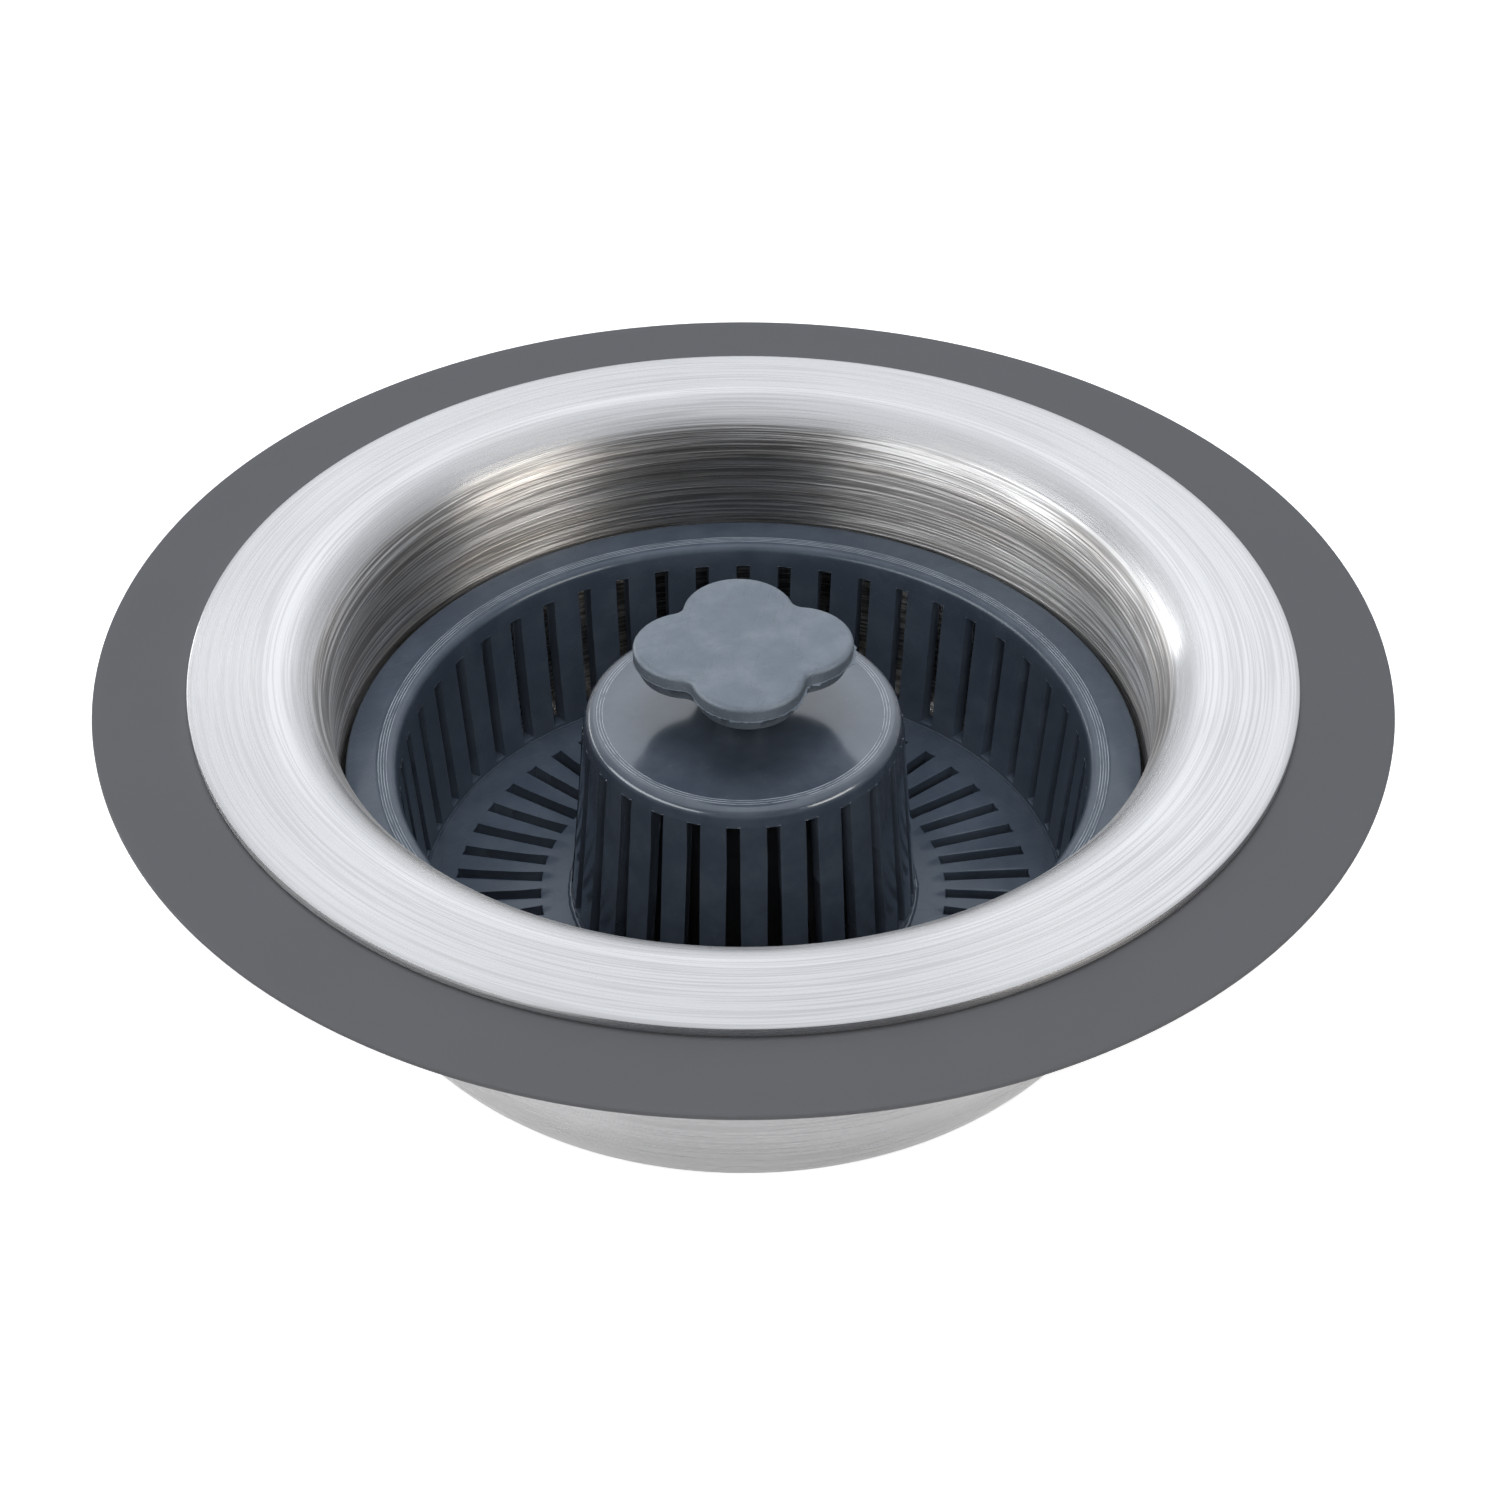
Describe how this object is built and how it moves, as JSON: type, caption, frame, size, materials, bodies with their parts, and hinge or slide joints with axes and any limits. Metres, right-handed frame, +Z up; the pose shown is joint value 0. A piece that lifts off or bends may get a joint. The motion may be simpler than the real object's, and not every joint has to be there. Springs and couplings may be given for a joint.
{
  "type": "sink strainer",
  "caption": "Steel drain cup with a wide sealing flange, a lift-out slotted basket under a domed cover and knob, and a press-to-rise stopper on a click core.",
  "frame": {"origin": "On the strainer's axis, in the plane of the outlet collar's foot, the lowest point of the object", "axes": "+Z up along the axis, out of the drain towards the knob. +Y away from the viewer of the picture, +X to the viewer's right"},
  "size_m": [0.1145, 0.1144, 0.0419],
  "materials": {
    "cup_steel": "circular brushed stainless steel",
    "gasket_silicone": "flat matte grey silicone sheet",
    "spider_steel": "plain stainless steel",
    "barrel_brass": "turned brass",
    "gland_plastic": "moulded plastic",
    "o_ring_rubber": "black rubber",
    "washer_steel": "plain stainless steel",
    "nut_brass": "turned brass",
    "spring_steel": "drawn spring wire",
    "rotor_brass": "turned brass",
    "plunger_plastic": "self-lubricating plastic",
    "hat_plastic": "black moulded plastic",
    "seal_rubber": "dark silicone",
    "screw_steel": "plain stainless steel",
    "basket_plastic": "satin blue-grey moulded plastic",
    "dome_plastic": "glossy blue-grey moulded plastic",
    "knob_plastic": "matte blue-grey moulded plastic"
  },
  "bodies": {
    "drain_cup": {"cup_shell": "cup_steel", "flange_gasket": "gasket_silicone", "outlet_spider": "spider_steel", "core_barrel": "barrel_brass", "core_gland": "gland_plastic", "core_o_ring": "o_ring_rubber", "core_washer": "washer_steel", "core_nut": "nut_brass", "core_spring": "spring_steel"},
    "stopper": {"core_rotor": "rotor_brass", "core_plunger": "plunger_plastic", "stopper_hat": "hat_plastic", "stopper_seal": "seal_rubber", "hat_screw": "screw_steel"},
    "basket": {"basket_bowl": "basket_plastic", "centre_dome": "dome_plastic", "pull_knob": "knob_plastic"}
  },
  "joints": [
    {"name": "stopper_rise", "type": "slide", "parent": "drain_cup", "child": "stopper", "axis": [0, 0, 1], "range_m": [0, 0.008], "deforming": ["core_spring"]},
    {"name": "basket_lift", "type": "slide", "parent": "stopper", "child": "basket", "axis": [0, 0, 1], "range_m": [0, 0.045]}
  ]
}
